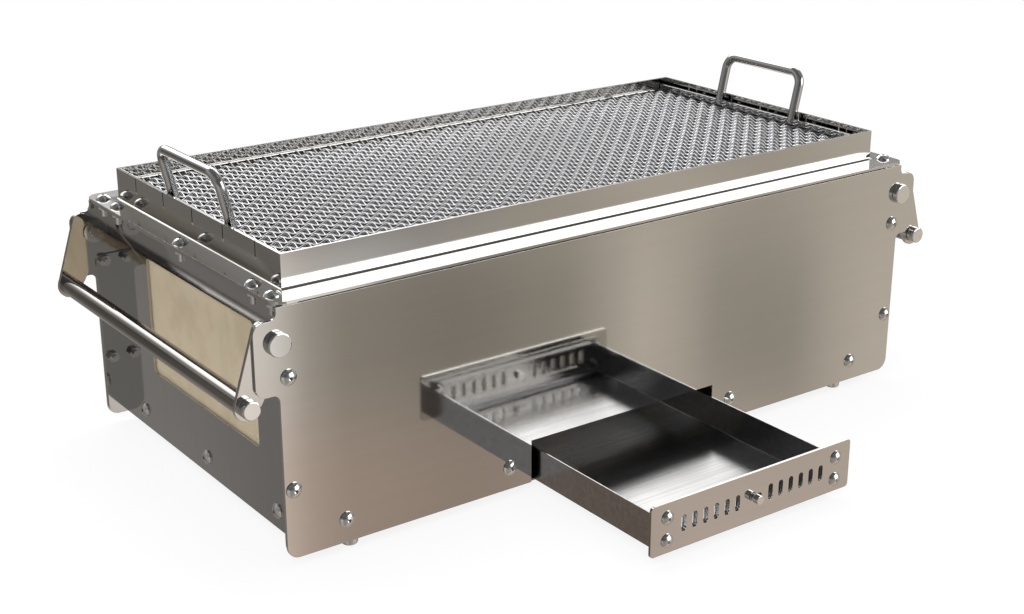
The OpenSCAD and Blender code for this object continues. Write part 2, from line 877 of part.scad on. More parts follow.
// The points of a round corner between the edges that come from one corner and go to the next
function corner_points(before, c, after) = let(
    start = edge_faces(before, c),
    sweep = (edge_faces(c, after) - start + 360) % 360,
    steps = ceil(sweep * $fn / 360)
) [for (i = [0 : steps]) let(a = start + sweep * i / steps) [c[0] + c[2] * cos(a), c[1] + c[2] * sin(a)]];

// An arm lying along -x from its pivot: three round corners joined by straight edges
module arm_slab() {
    end = [-handle_reach, 0, arm_end_r];
    corner = [arm_corner_past, -arm_corner_out, arm_corner_r];
    pivot = [0, 0, arm_pivot_r];
    linear_extrude(arm_t) polygon(concat(
        corner_points(pivot, end, corner),
        corner_points(end, corner, pivot),
        corner_points(corner, pivot, end)
    ));
}

module grip() {
    difference() {
        rod_along_y(grip_x, -arm_inner_y, grip_z, grip_d, 2 * arm_inner_y);
        face_copies() rod_along_y(grip_x, -arm_inner_y - cut, grip_z, grip_bolt_d + 2 * run_fit, grip_bolt_l);
    }
}

module grip_bolts() {
    face_copies() {
        rod_along_y(grip_x, -arm_y - grip_bolt_head_h, grip_z, grip_bolt_head_d, grip_bolt_head_h);
        rod_along_y(grip_x, -arm_y - cut, grip_z, grip_bolt_d, grip_bolt_l + cut);
    }
}

module left_arm_front() {
    color(steel) placed() handle_arm();
}

module left_arm_back() {
    color(steel) placed() back_face() handle_arm();
}

module left_grip() {
    color(bright_steel) placed() grip();
}

module left_grip_bolts() {
    color(bright_steel) placed() grip_bolts();
}

module right_arm_front() {
    color(steel) placed() right_end() handle_arm();
}

module right_arm_back() {
    color(steel) placed() right_end() back_face() handle_arm();
}

module right_grip() {
    color(bright_steel) placed() right_end() grip();
}

module right_grip_bolts() {
    color(bright_steel) placed() right_end() grip_bolts();
}

// The wires along the grate lie on the wires across it
module grate_long_wires() {
    middle = (long_count - 1) / 2;
    color(bright_steel) placed() for (i = [0 : long_count - 1])
        translate([-bar_inner_x, (i - middle) * mesh_pitch, mesh_z + wire_d / 2 + run_fit]) rotate([0, 90, 0])
            cylinder(d = wire_d, h = 2 * bar_inner_x, $fn = wire_fn);
}

module grate_cross_wires() {
    middle = (cross_count - 1) / 2;
    color(bright_steel) placed() for (i = [0 : cross_count - 1])
        translate([(i - middle) * mesh_pitch, -grate_inner_y, mesh_z - wire_d / 2]) rotate([-90, 0, 0])
            cylinder(d = wire_d, h = 2 * grate_inner_y, $fn = wire_fn);
}

module end_bar() {
    block([-bar_x, -grate_y, bar_bottom], [-bar_inner_x, grate_y, bar_top]);
}

module grate_end_bar_left() {
    color(bright_steel) placed() end_bar();
}

module grate_end_bar_right() {
    color(bright_steel) placed() right_end() end_bar();
}

module grate_side_bars() {
    top = mesh_z + side_bar_rise;
    color(steel) placed() face_copies()
        block([-bar_inner_x, -grate_y, top - side_bar_h], [bar_inner_x, -grate_inner_y, top]);
}

// A bail standing in the y and z plane with its legs' feet at z = 0, bent from one rod
module bail_rod() {
    leg_y = bail_w / 2;
    leg_l = bail_slope - bail_bend_r;
    for (s = [-1, 1]) {
        translate([0, s * leg_y, -bail_rod_d]) cylinder(d = bail_rod_d, h = leg_l + bail_rod_d);
        translate([0, s * (leg_y - bail_bend_r), leg_l]) rotate([0, -90, 0]) rotate([0, 0, s > 0 ? 0 : -90])
            rotate_extrude(angle = 90) translate([bail_bend_r, 0]) circle(d = bail_rod_d);
    }
    rod_along_y(0, -leg_y + bail_bend_r, bail_slope, bail_rod_d, 2 * (leg_y - bail_bend_r));
}

module bail() {
    difference() {
        translate([-bail_x, 0, bar_top]) rotate([0, -bail_angle, 0]) bail_rod();
        block([-end_x, -bail_w, bar_top - 2 * bail_rod_d], [-bail_x + end_in, bail_w, bar_top]);
    }
}

module bail_left() {
    color(bright_steel) placed() bail();
}

module bail_right() {
    color(bright_steel) placed() right_end() bail();
}

// The vent's slots as seen from the front, drawn in x and z
module vent_slots() {
    for (s = [-1, 1], i = [0 : vent_count - 1]) {
        end_z = (vent_h - vent_w) / 2;
        translate([s * (vent_start + i * vent_pitch), vent_z]) {
            translate([-vent_w / 2, -end_z]) square([vent_w, 2 * end_z]);
            for (z = [-end_z, end_z]) translate([0, z]) circle(d = vent_w);
        }
    }
}

// The slot in which the knob's shank travels
module knob_slot() {
    r = (knob_neck_d + knob_slot_fit) / 2;
    translate([0, vent_z]) circle(r);
    translate([vent_travel, vent_z]) circle(r);
    translate([0, vent_z - r]) square([vent_travel, 2 * r]);
}

module front_screw_places() {
    for (x = [-front_screw_x, front_screw_x], z = [front_screw_low, front_screw_high])
        translate([x, 0, z]) children();
}

module drawer_front() {
    color(steel) placed() difference() {
        upright(plate_y, front_t) difference() {
            round_box([-front_w / 2, 0], [front_w / 2, front_h], front_corner_r);
            vent_slots();
            knob_slot();
        }
        front_screw_places()
            rod_along_y(0, plate_y - cut, 0, front_screw_d + 2 * slip_fit, front_t + 2 * cut);
    }
}

module drawer_tray() {
    half = tray_w / 2;
    back = plate_back_y + tray_l;
    color(steel) placed() difference() {
        union() {
            block([-half, plate_back_y, tray_lift], [half, back, tray_lift + tray_h]);
            block([-half, plate_back_y, tray_lift], [half, tray_inner_y, tray_front_top]);
        }
        block(
            [-half + tray_t, tray_inner_y, tray_lift + tray_t],
            [half - tray_t, back - tray_t, tray_lift + tray_h + cut]
        );
        upright(plate_back_y - cut, tray_t + 2 * cut) {
            vent_slots();
            knob_slot();
        }
        front_screw_places()
            rod_along_y(0, plate_back_y - cut, 0, front_screw_d + 2 * slip_fit, tray_t + 2 * cut);
    }
}

module drawer_screws() {
    color(bright_steel) placed() front_screw_places() translate([0, plate_y, 0]) facing_front()
        button_screw(front_screw_d, front_screw_head_d, front_screw_head_h, front_screw_l);
}

module drawer_nuts() {
    color(bright_steel) placed() front_screw_places() translate([0, tray_inner_y + front_nut_h, 0])
        facing_front() rotate([0, 0, 30]) nut(front_nut_w, front_nut_h, front_screw_d);
}

// Rails above and below the shutter that keep it against the tray's front wall
module vent_guides() {
    lip_y = shutter_back_y + seat_gap;
    color(dark_steel) placed() for (s = [-1, 1]) translate([0, 0, vent_z]) scale([1, 1, s]) {
        foot_low = shutter_h / 2 + seat_gap;
        block([-guide_x, tray_inner_y, foot_low], [guide_x, lip_y + guide_t, foot_low + guide_foot]);
        block(
            [-guide_x, lip_y, shutter_h / 2 - guide_lip],
            [guide_x, lip_y + guide_t, foot_low + guide_foot]
        );
    }
}

module vent_shutter() {
    color(dark_steel) placed() upright(shutter_y, shutter_t) difference() {
        translate([-shutter_left, vent_z - shutter_h / 2]) square([shutter_left + shutter_right, shutter_h]);
        vent_slots();
        translate([0, vent_z]) circle(d = knob_neck_d + 2 * run_fit);
    }
}

module vent_knob() {
    shank_l = shutter_back_y - knob_y + front_nut_h;
    color(bright_steel) placed() translate([0, knob_y, vent_z]) facing_front() {
        cylinder(d = knob_d, h = knob_collar_l);
        cylinder(d = knob_neck_d, h = knob_l - knob_end_l + cut);
        translate([0, 0, knob_l - knob_end_l]) cylinder(d = knob_end_d, h = knob_end_l);
        translate([0, 0, -shank_l]) cylinder(d = knob_neck_d, h = shank_l + cut);
    }
}

module vent_nut() {
    color(bright_steel) placed() translate([0, shutter_back_y + front_nut_h, vent_z]) facing_front()
        nut(front_nut_w, front_nut_h, knob_neck_d);
}

front_panel();
back_panel();
end_panel_left();
end_panel_right();
base_pan_left();
base_pan_right();
drawer_runner_left();
drawer_runner_right();
fire_floor();
board_front();
board_back();
board_left();
board_right();
collar();
grate_ledges();
collar_screws();
collar_nuts();
panel_screws();
panel_nuts();
end_screws();
end_nuts();
feet();
foot_screws();
pivot_pins();
pivot_discs();
charcoal_rods();
charcoal_rails();
left_arm_front();
left_arm_back();
left_grip();
left_grip_bolts();
right_arm_front();
right_arm_back();
right_grip();
right_grip_bolts();
grate_long_wires();
grate_cross_wires();
grate_end_bar_left();
grate_end_bar_right();
grate_side_bars();
bail_left();
bail_right();
drawer_tray();
drawer_front();
drawer_screws();
drawer_nuts();
vent_guides();
vent_shutter();
vent_knob();
vent_nut();
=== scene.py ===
import json
import math

import bpy
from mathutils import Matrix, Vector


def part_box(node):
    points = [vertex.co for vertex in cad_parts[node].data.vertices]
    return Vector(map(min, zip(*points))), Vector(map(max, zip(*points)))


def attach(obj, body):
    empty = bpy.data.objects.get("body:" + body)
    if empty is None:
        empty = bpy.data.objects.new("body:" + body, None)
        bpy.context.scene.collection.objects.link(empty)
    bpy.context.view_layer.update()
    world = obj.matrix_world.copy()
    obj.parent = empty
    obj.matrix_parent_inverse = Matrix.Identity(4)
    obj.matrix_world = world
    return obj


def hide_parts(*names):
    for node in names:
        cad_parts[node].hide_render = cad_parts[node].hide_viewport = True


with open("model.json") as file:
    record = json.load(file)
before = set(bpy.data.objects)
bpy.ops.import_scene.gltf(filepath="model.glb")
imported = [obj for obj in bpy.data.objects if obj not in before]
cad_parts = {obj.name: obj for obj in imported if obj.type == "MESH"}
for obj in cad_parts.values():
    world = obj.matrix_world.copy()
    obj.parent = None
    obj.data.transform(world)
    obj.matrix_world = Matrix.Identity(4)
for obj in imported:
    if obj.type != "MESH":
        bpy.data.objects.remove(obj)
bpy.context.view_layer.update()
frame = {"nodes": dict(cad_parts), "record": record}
nodes = frame["nodes"]

# Camera. It stands in front of the grill's left end and looks down on it through a slightly long lens. Its
# place was worked out from the straight edges of the body.
camera_spot = (-0.7726, -0.9911, 0.5653)
camera_tilt = math.radians(90 - 20.095)
camera_turn = math.radians(-36.055)
lens_length = 58.4
film_width = 36.0
nearest_seen = 0.01

bpy.ops.object.select_all(action="DESELECT")
bpy.ops.object.camera_add(location=camera_spot, rotation=(camera_tilt, 0, camera_turn))
camera = bpy.context.object
camera.data.lens = lens_length
camera.data.sensor_width = film_width
camera.data.clip_start = nearest_seen
bpy.context.scene.camera = camera
bpy.context.scene.view_settings.view_transform = "Standard"

# Surroundings. Diffuse light comes from all sides at a plain level, and the camera sees white paper behind
# the grill. Polished metal would see the same white, but for the painted reflections of the dome below.
paper_white = (0.985, 0.985, 0.985, 1)
sky_light = (1.0, 1.0, 1.0, 1)


def link(tree, source, target):
    tree.links.new(source, target)


def number(tree, operation, *values):
    made = tree.nodes.new("ShaderNodeMath")
    made.operation = operation
    for socket, value in zip(made.inputs, values):
        if isinstance(value, (int, float)):
            socket.default_value = value
        else:
            link(tree, value, socket)
    return made.outputs[0]


def seen_directly(tree):
    """1 where the camera, a mirror or glass looks, 0 for diffuse light."""
    rays = tree.nodes.new("ShaderNodeLightPath")
    seen = number(tree, "MAXIMUM", rays.outputs["Is Camera Ray"], rays.outputs["Is Glossy Ray"])
    return number(tree, "MAXIMUM", seen, rays.outputs["Is Transmission Ray"])


world = bpy.data.worlds.new("white_studio")
bpy.context.scene.world = world
world.use_nodes = True
tree = world.node_tree
tree.nodes.clear()
light = tree.nodes.new("ShaderNodeBackground")
light.inputs["Color"].default_value = sky_light
white = tree.nodes.new("ShaderNodeBackground")
white.inputs["Color"].default_value = paper_white
choice = tree.nodes.new("ShaderNodeMixShader")
link(tree, seen_directly(tree), choice.inputs[0])
link(tree, light.outputs[0], choice.inputs[1])
link(tree, white.outputs[0], choice.inputs[2])
link(tree, choice.outputs[0], tree.nodes.new("ShaderNodeOutputWorld").inputs["Surface"])

# Paper floor. The grill stands on a large sheet of matt white paper, which keeps a faint shadow of it.
# Polished metal shows the lower half of the dome's painted reflections in the sheet's place.
floor_size = 40.0
paper_tone = (0.9, 0.9, 0.9, 1)
white_share = 0.88

bpy.ops.object.select_all(action="DESELECT")
bpy.ops.mesh.primitive_plane_add(size=floor_size, location=(0, 0, 0))
floor = bpy.context.object
floor.name = "paper_floor"
floor.visible_glossy = False
paper = bpy.data.materials.new("floor_paper")
paper.use_nodes = True
tree = paper.node_tree
tree.nodes.clear()
lit = tree.nodes.new("ShaderNodeBsdfDiffuse")
lit.inputs["Color"].default_value = paper_tone
glow = tree.nodes.new("ShaderNodeEmission")
glow.inputs["Color"].default_value = paper_white
choice = tree.nodes.new("ShaderNodeMixShader")
link(tree, number(tree, "MULTIPLY", seen_directly(tree), white_share), choice.inputs[0])
link(tree, lit.outputs[0], choice.inputs[1])
link(tree, glow.outputs[0], choice.inputs[2])
link(tree, choice.outputs[0], tree.nodes.new("ShaderNodeOutputMaterial").inputs["Surface"])
floor.data.materials.append(paper)

# Reflection dome. A large glowing sphere stands far round the grill and the camera, and only polished metal
# shows it:
# its glow is painted reflection and lights nothing. Its warm grey bands run all round, with darker gaps
# between them. High up at the front right and the back right it glows white, as painted highlights.
dome_radius = 60.0
dome_sides = 48
dome_rows = 24
reflection_power = 3.2
warm = (1.0, 0.915, 0.785)
brown = (1.0, 0.80, 0.67)
umber = (1.0, 0.70, 0.53)
sand = (1.0, 0.85, 0.74)
grey = (1.0, 0.95, 0.90)
plain = (1.0, 1.0, 1.0)


def shade(level, reflection_paint):
    return tuple(level / reflection_power * c for c in reflection_paint)


def tones(tree, factor, stops):
    made = tree.nodes.new("ShaderNodeValToRGB")
    made.color_ramp.interpolation = "EASE"
    points = made.color_ramp.elements
    while len(points) < len(stops):
        points.new(0.5)
    for point, (place, colour) in zip(points, stops):
        point.position = place
        point.color = (*colour, 1)
    link(tree, factor, made.inputs["Fac"])
    return made.outputs["Color"]


def mixed(tree, factor, first, second):
    made = tree.nodes.new("ShaderNodeMix")
    made.data_type = "RGBA"
    link(tree, factor, made.inputs["Factor"])
    link(tree, first, made.inputs["A"])
    link(tree, second, made.inputs["B"])
    return made.outputs["Result"]


def ring(tree, compass, reflection_paints):
    """Tones round the compass, with the back at 0, the right end at 90, the front at 180 and -180."""
    stops = [(heading / 360 + 0.5, shade(level, reflection_paint)) for heading, level, reflection_paint in reflection_paints]
    return tones(tree, compass, stops)


def over(tree, rise, lower, upper, start, stop):
    """The upper ring takes over from the lower one between two heights, in degrees."""
    turn = tones(tree, rise, [(start / 180 + 0.5, (0, 0, 0)), (stop / 180 + 0.5, (1, 1, 1))])
    return mixed(tree, turn, lower, upper)


# Each ring of painted reflection gives the heading, the level of its glow and its tint
foot_ring = [
    (-180, 0.36, warm), (-145, 0.28, plain), (-130, 0.45, grey), (-90, 0.32, grey), (-55, 0.25, brown),
    (-40, 0.16, umber), (-28, 0.20, grey), (-23, 0.28, grey), (0, 0.34, grey), (35, 0.50, sand),
    (60, 0.36, brown), (90, 0.34, grey), (120, 0.60, sand), (137, 0.65, sand), (145, 0.41, brown),
    (151, 0.48, brown), (154, 0.90, sand), (160, 0.45, brown), (180, 0.36, warm),
]
low_ring = [
    (-180, 0.36, warm), (-145, 0.27, plain), (-130, 0.52, grey), (-90, 0.32, grey), (-50, 0.25, brown),
    (-38, 0.20, brown), (-27, 0.21, grey), (-22, 0.26, grey), (0, 0.34, grey), (24, 0.62, warm),
    (34, 0.34, warm), (42, 0.68, warm), (50, 0.40, warm), (64, 0.60, warm), (90, 0.36, grey),
    (122, 0.60, warm), (131, 0.68, warm), (134, 0.40, warm), (136, 0.41, warm), (139, 0.68, warm),
    (142, 0.37, warm), (146, 0.29, warm), (151, 0.35, warm), (154, 1.00, grey), (157, 1.10, grey),
    (165, 0.42, warm), (180, 0.36, warm),
]
level_ring = [
    (-180, 0.34, warm), (-145, 0.26, plain), (-130, 0.56, grey), (-90, 0.34, grey), (-40, 0.20, brown),
    (-27, 0.14, grey), (-24, 0.20, grey), (0, 0.30, grey), (24, 0.42, warm), (36, 0.25, warm),
    (44, 0.46, warm), (54, 0.26, warm), (66, 0.44, warm), (90, 0.36, grey), (120, 0.70, warm),
    (131, 0.64, warm), (135, 0.50, warm), (139, 0.60, warm), (143, 0.48, warm), (148, 0.43, grey),
    (150, 0.60, plain), (152, 0.62, grey), (154, 1.03, grey), (157, 1.10, grey), (165, 0.42, warm),
    (180, 0.34, warm),
]
high_ring = [
    (-180, 0.14, plain), (-145, 0.10, plain), (-90, 0.26, plain), (-45, 0.36, plain), (-30, 0.14, warm),
    (-27, 0.11, warm), (-25, 0.24, warm), (-21, 0.28, warm), (0, 0.30, plain), (14, 0.28, plain),
    (70, 0.35, plain), (104, 0.35, plain), (117, 0.55, plain), (124, reflection_power, plain),
    (158, reflection_power, plain), (168, 0.45, plain), (180, 0.30, plain),
]
upper_ring = [
    (-180, 0.14, plain), (-145, 0.10, plain), (-90, 0.30, plain), (-45, 0.45, plain), (-20, 0.40, plain),
    (2, reflection_power, plain), (60, reflection_power, plain), (70, 0.50, plain), (104, 0.40, plain),
    (117, 0.60, plain), (124, reflection_power, plain), (158, reflection_power, plain), (168, 0.50, plain),
    (180, 0.30, plain),
]
shoulder_ring = [
    (-180, 0.12, plain), (-90, 0.20, plain), (-30, 0.30, plain), (-10, 2.40, plain), (66, 2.40, plain),
    (80, 0.40, plain), (110, 0.18, plain), (180, 0.12, plain),
]
crown_ring = [
    (-180, 0.12, plain), (-30, 0.14, plain), (35, 0.26, plain), (100, 0.16, plain), (140, 0.36, plain),
    (180, 0.12, plain),
]
# Each ring over the lowest, with the two heights between which it takes over
stacked_rings = [
    (low_ring, -26, -21), (level_ring, -20, -15), (high_ring, -11, 9), (upper_ring, 15, 20),
    (shoulder_ring, 28, 33), (crown_ring, 46, 54),
]

bpy.ops.object.select_all(action="DESELECT")
bpy.ops.mesh.primitive_uv_sphere_add(
    segments=dome_sides, ring_count=dome_rows, radius=dome_radius, location=(0, 0, 0))
reflection_dome = bpy.context.object
reflection_dome.name = "painted_reflection_dome"
reflection_dome.visible_camera = False
reflection_dome.visible_diffuse = False
reflection_dome.visible_transmission = False
reflection_dome.visible_shadow = False
reflection_paint = bpy.data.materials.new("reflection_dome_paint")
reflection_paint.use_nodes = True
tree = reflection_paint.node_tree
tree.nodes.clear()
parts = tree.nodes.new("ShaderNodeSeparateXYZ")
link(tree, tree.nodes.new("ShaderNodeTexCoord").outputs["Object"], parts.inputs[0])
compass = number(tree, "ARCTAN2", parts.outputs["X"], parts.outputs["Y"])
compass = number(tree, "MULTIPLY_ADD", compass, 1 / math.tau, 0.5)
rise = number(tree, "ARCSINE", number(tree, "DIVIDE", parts.outputs["Z"], dome_radius))
rise = number(tree, "MULTIPLY_ADD", rise, 1 / math.pi, 0.5)
# The stacked rings paint the reflections and highlights that the polished metal shows.
painted_reflections = ring(tree, compass, foot_ring)
for reflection_paints, start, stop in stacked_rings:
    painted_reflections = over(tree, rise, painted_reflections, ring(tree, compass, reflection_paints), start, stop)
glow = tree.nodes.new("ShaderNodeEmission")
glow.inputs["Strength"].default_value = reflection_power
link(tree, painted_reflections, glow.inputs["Color"])
link(tree, glow.outputs[0], tree.nodes.new("ShaderNodeOutputMaterial").inputs["Surface"])
reflection_dome.data.materials.append(reflection_paint)

# Lamps. Two large softboxes, one over the camera's left shoulder and one overhead, light the matt boards and
# the paper. Polished metal shows the dome's painted highlights instead of them.
key_spot = (-1.6, -1.6, 2.2)
key_size = (1.6, 1.0)
key_watts = 34
top_spot = (0.3, 0.6, 2.4)
top_size = (2.2, 1.2)
top_watts = 24
lamp_aim = (0, 0, 0.1)


def softbox(name, spot, size, watts):
    bpy.ops.object.light_add(type="AREA", location=spot)
    lamp = bpy.context.object
    lamp.name = name
    lamp.visible_glossy = False
    lamp.data.shape = "RECTANGLE"
    lamp.data.size, lamp.data.size_y = size
    lamp.data.energy = watts
    away = [a - s for a, s in zip(lamp_aim, spot)]
    tip = math.atan2(math.hypot(away[0], away[1]), -away[2])
    lamp.rotation_euler = (tip, 0, math.atan2(away[1], away[0]) - math.pi / 2)


softbox("key_softbox", key_spot, key_size, key_watts)
softbox("top_softbox", top_spot, top_size, top_watts)

# Front and back panels. They are cut from 2 mm stainless sheet with a bright polish and stand on edge, held
# by the screws at their ends and along their base. The cut edges are broken and catch a thin line of light.
sheet_edge = 0.0003
edge_steps = 2
sheet_tone = (0.62, 0.605, 0.58)
sheet_gloss = 0.045
faint_streaks = (6, 6, 160)
streak_detail = 4.0
streak_stops = (0.3, 0.7)
smudge_scale = 14.0
smudge_detail = 3.0
gloss_shares = (0.7, 1.5)
swell_height = 0.00001
swell_scale = 4.0
swell_detail = 0.0
bump_strength = 0.4
merge_reach = 0.00001
flat_turn = math.radians(1)
sharp_turn = math.radians(35)
smooth_turn = math.radians(12)
bend_steps = 8
bend_margin = 0.0005
shortest_bend = 0.05


def noise(tree, place, detail, scale=1.0):
    made = tree.nodes.new("ShaderNodeTexNoise")
    made.inputs["Scale"].default_value = scale
    made.inputs["Detail"].default_value = detail
    link(tree, place, made.inputs["Vector"])
    return made.outputs["Fac"]


def stretched(tree, place, scales):
    made = tree.nodes.new("ShaderNodeMapping")
    made.inputs["Scale"].default_value = scales
    link(tree, place, made.inputs["Vector"])
    return made.outputs["Vector"]


def bumped(tree, shader, height, depth):
    made = tree.nodes.new("ShaderNodeBump")
    made.inputs["Strength"].default_value = bump_strength
    made.inputs["Distance"].default_value = depth
    link(tree, height, made.inputs["Height"])
    link(tree, made.outputs["Normal"], shader.inputs["Normal"])


def polished(name, tone, gloss, streaks, streak_share=0.02, swell=swell_height):
    """Stainless steel with faint rolling streaks, smudges in its gloss and a slight swell in its surface."""
    made = bpy.data.materials.new(name)
    made.use_nodes = True
    tree = made.node_tree
    shader = tree.nodes["Principled BSDF"]
    shader.inputs["Metallic"].default_value = 1.0
    place = tree.nodes.new("ShaderNodeTexCoord").outputs["Object"]
    lines = noise(tree, stretched(tree, place, streaks), streak_detail)
    darker = tuple(c * (1 - streak_share) for c in tone)
    link(tree, tones(tree, lines, list(zip(streak_stops, (darker, tone)))), shader.inputs["Base Color"])
    spread = tree.nodes.new("ShaderNodeMapRange")
    spread.inputs["To Min"].default_value = gloss * gloss_shares[0]
    spread.inputs["To Max"].default_value = gloss * gloss_shares[1]
    link(tree, noise(tree, place, smudge_detail, smudge_scale), spread.inputs["Value"])
    link(tree, spread.outputs["Result"], shader.inputs["Roughness"])
    bumped(tree, shader, noise(tree, place, swell_detail, swell_scale), swell)
    return made


def dress(material, *names):
    for name in names:
        nodes[name].data.materials.clear()
        nodes[name].data.materials.append(material)


def folded(piece, name, thickness, radius):
    """Round the inside of the bends where walls stand up from a sheet's flat."""
    low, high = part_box(name)
    level = low.z + thickness
    mesh = piece.data
    bpy.ops.object.mode_set(mode="EDIT")
    bpy.ops.mesh.select_mode(type="EDGE")
    bpy.ops.mesh.select_all(action="DESELECT")
    bpy.ops.object.mode_set(mode="OBJECT")
    for line in mesh.edges:
        ends = [mesh.vertices[i].co for i in line.vertices]
        flat = all(abs(end.z - level) < merge_reach for end in ends)
        rim = min(min(end.x - low.x, high.x - end.x, end.y - low.y, high.y - end.y) for end in ends)
        line.select = flat and rim > bend_margin and (ends[0] - ends[1]).length > shortest_bend
    bpy.ops.object.mode_set(mode="EDIT")
    bpy.ops.mesh.bevel(offset=radius, segments=bend_steps, affect="EDGES")
    bpy.ops.object.mode_set(mode="OBJECT")


def edged(name, material, edge, thickness=0, bend=0):
    """A copy of a CAD node with its edges broken, which rides and stands for that node."""
    piece = bpy.data.objects.new(name + "_edged", nodes[name].data.copy())
    bpy.context.scene.collection.objects.link(piece)
    bpy.ops.object.select_all(action="DESELECT")
    piece.select_set(True)
    bpy.context.view_layer.objects.active = piece
    bpy.ops.object.mode_set(mode="EDIT")
    bpy.ops.mesh.select_all(action="SELECT")
    bpy.ops.mesh.remove_doubles(threshold=merge_reach)
    bpy.ops.mesh.dissolve_limited(angle_limit=flat_turn)
    bpy.ops.mesh.normals_make_consistent(inside=False)
    bpy.ops.object.mode_set(mode="OBJECT")
    if bend:
        folded(piece, name, thickness, bend)
    bevel = piece.modifiers.new("broken_edges", "BEVEL")
    bevel.width = edge
    bevel.segments = edge_steps
    bevel.limit_method = "ANGLE"
    bevel.angle_limit = sharp_turn
    bpy.ops.object.modifier_apply(modifier=bevel.name)
    bpy.ops.object.shade_smooth_by_angle(angle=smooth_turn)
    piece.data.materials.clear()
    piece.data.materials.append(material)
    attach(piece, body_of[name])
    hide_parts(name)


bodies = frame["record"]["behaviour"]["bodies"]
body_of = {name: body for body, names in bodies.items() for name in names}

panel_steel = polished("panel_steel", sheet_tone, sheet_gloss, faint_streaks)
edged("front_panel", panel_steel, sheet_edge)
edged("back_panel", panel_steel, sheet_edge)

# End panels. A web with a window closes each end of the body. It is folded from 2 mm stainless sheet, with
# flanges behind the long panels and under the collar.
end_tone = (0.58, 0.575, 0.565)
end_gloss = 0.07
upright_streaks = (6, 160, 6)

end_steel = polished("end_steel", end_tone, end_gloss, upright_streaks)
edged("end_panel_left", end_steel, sheet_edge)
edged("end_panel_right", end_steel, sheet_edge)

# Base pans, drawer runners and the plate under the charcoal. They are plain folded steel inside the body,
# duller than the outside, and screwed and hung between the panels.
inner_tone = (0.34, 0.33, 0.32)
inner_gloss = 0.32
inner_streak_share = 0.18
mill_streaks = (40, 300, 40)

inner_steel = polished("inner_steel", inner_tone, inner_gloss, mill_streaks, inner_streak_share)
dress(inner_steel, "base_pan_left", "base_pan_right", "drawer_runner_left", "drawer_runner_right",
      "fire_floor")

# Heat boards. Slabs pressed from grains of expanded vermiculite line the fire box, beige and matt, with faint
# upright scratches where they slide in.
board_tone = (0.435, 0.36, 0.25)
board_dark = (0.385, 0.315, 0.215)
board_scratch = (0.395, 0.33, 0.228)
board_rough = 0.85
grain_scale = 420.0
grain_depth = 0.0003
cloud_scale = 30.0
cloud_detail = 8.0
mottled_stops = (0.3, 0.55)
scratched_stops = (0.3, 0.6)
scratch_stretch = (60, 60, 5)
scratch_detail = 2.0
scratch_from = 0.5
scratch_full = 0.7

vermiculite = bpy.data.materials.new("vermiculite")
vermiculite.use_nodes = True
tree = vermiculite.node_tree
shader = tree.nodes["Principled BSDF"]
shader.inputs["Roughness"].default_value = board_rough
place = tree.nodes.new("ShaderNodeTexCoord").outputs["Object"]
grains = tree.nodes.new("ShaderNodeTexVoronoi")
grains.inputs["Scale"].default_value = grain_scale
link(tree, place, grains.inputs["Vector"])
clouds = noise(tree, place, cloud_detail, cloud_scale)
scratches = noise(tree, stretched(tree, place, scratch_stretch), scratch_detail)
mottled = tones(tree, clouds, list(zip(mottled_stops, (board_dark, board_tone))))
scratched = tones(tree, clouds, list(zip(scratched_stops, (board_dark, board_scratch))))
where = tones(tree, scratches, [(scratch_from, (0, 0, 0)), (scratch_full, (1, 1, 1))])
link(tree, mixed(tree, where, mottled, scratched), shader.inputs["Base Color"])
bumped(tree, shader, grains.outputs["Distance"], grain_depth)
dress(vermiculite, "board_front", "board_back", "board_left", "board_right")

# Collar and its ledges. The collar is a folded frame of bright sheet that lies on the end panels' flanges,
# with slits in its end walls so that it can grow in the heat. The ledges inside carry the cooking grate.
collar_gloss = 0.07
collar_edge = 0.0004
collar_sheet = 0.002
collar_bend = 0.0018

collar_steel = polished("collar_steel", sheet_tone, collar_gloss, faint_streaks)
edged("collar", collar_steel, collar_edge, collar_sheet, collar_bend)
edged("grate_ledges", collar_steel, sheet_edge)

# Screws and nuts. Stainless screws with flanged button heads and hexagonal sockets hold the sheets together,
# with nuts behind them, and shorter ones hold the feet. All are turned bright.
bolt_tone = (0.76, 0.76, 0.75)
bolt_gloss = 0.06
turned_streaks = (90, 90, 90)

bolt_steel = polished("bolt_steel", bolt_tone, bolt_gloss, turned_streaks, swell=0)
dress(bolt_steel, "panel_screws", "panel_nuts", "end_screws", "end_nuts", "collar_screws", "collar_nuts",
      "foot_screws")

# Feet. Four small feet with a round lower edge are turned from stainless bar. Each is held under a base pan
# by a screw that comes down through the pan.
dress(bolt_steel, "feet")

# Carry handles. At each end two tapered arms of 3 mm sheet swing on pins through the panels' ears, and a
# round steel bar is bolted between them. The pins' and bolts' heads are plain cylinders with a chamfer.
head_edge = 0.0008
# The grip's steel is painted darker than the bails' rod steel, as painted shade for the dark surroundings it
# reflects; its lengthwise streaks are its own.
shaded_grip_tone = (0.43, 0.41, 0.39)
grip_gloss = 0.10
grip_streak_share = 0.3
along_grip = (160, 6, 160)

shaded_grip_steel = polished("shaded_grip_steel", shaded_grip_tone, grip_gloss, along_grip, grip_streak_share)
dress(bolt_steel, "pivot_discs")
edged("pivot_pins", bolt_steel, head_edge)
for side in ("left", "right"):
    edged(side + "_arm_front", panel_steel, sheet_edge)
    edged(side + "_arm_back", panel_steel, sheet_edge)
    edged(side + "_grip_bolts", bolt_steel, head_edge)
    dress(shaded_grip_steel, side + "_grip")

# Charcoal grate. Round steel rods lie across two flat rails that stand on the plate under the charcoal. It is
# loose in the body and as dull as it came from the mill.
dress(inner_steel, "charcoal_rods", "charcoal_rails")

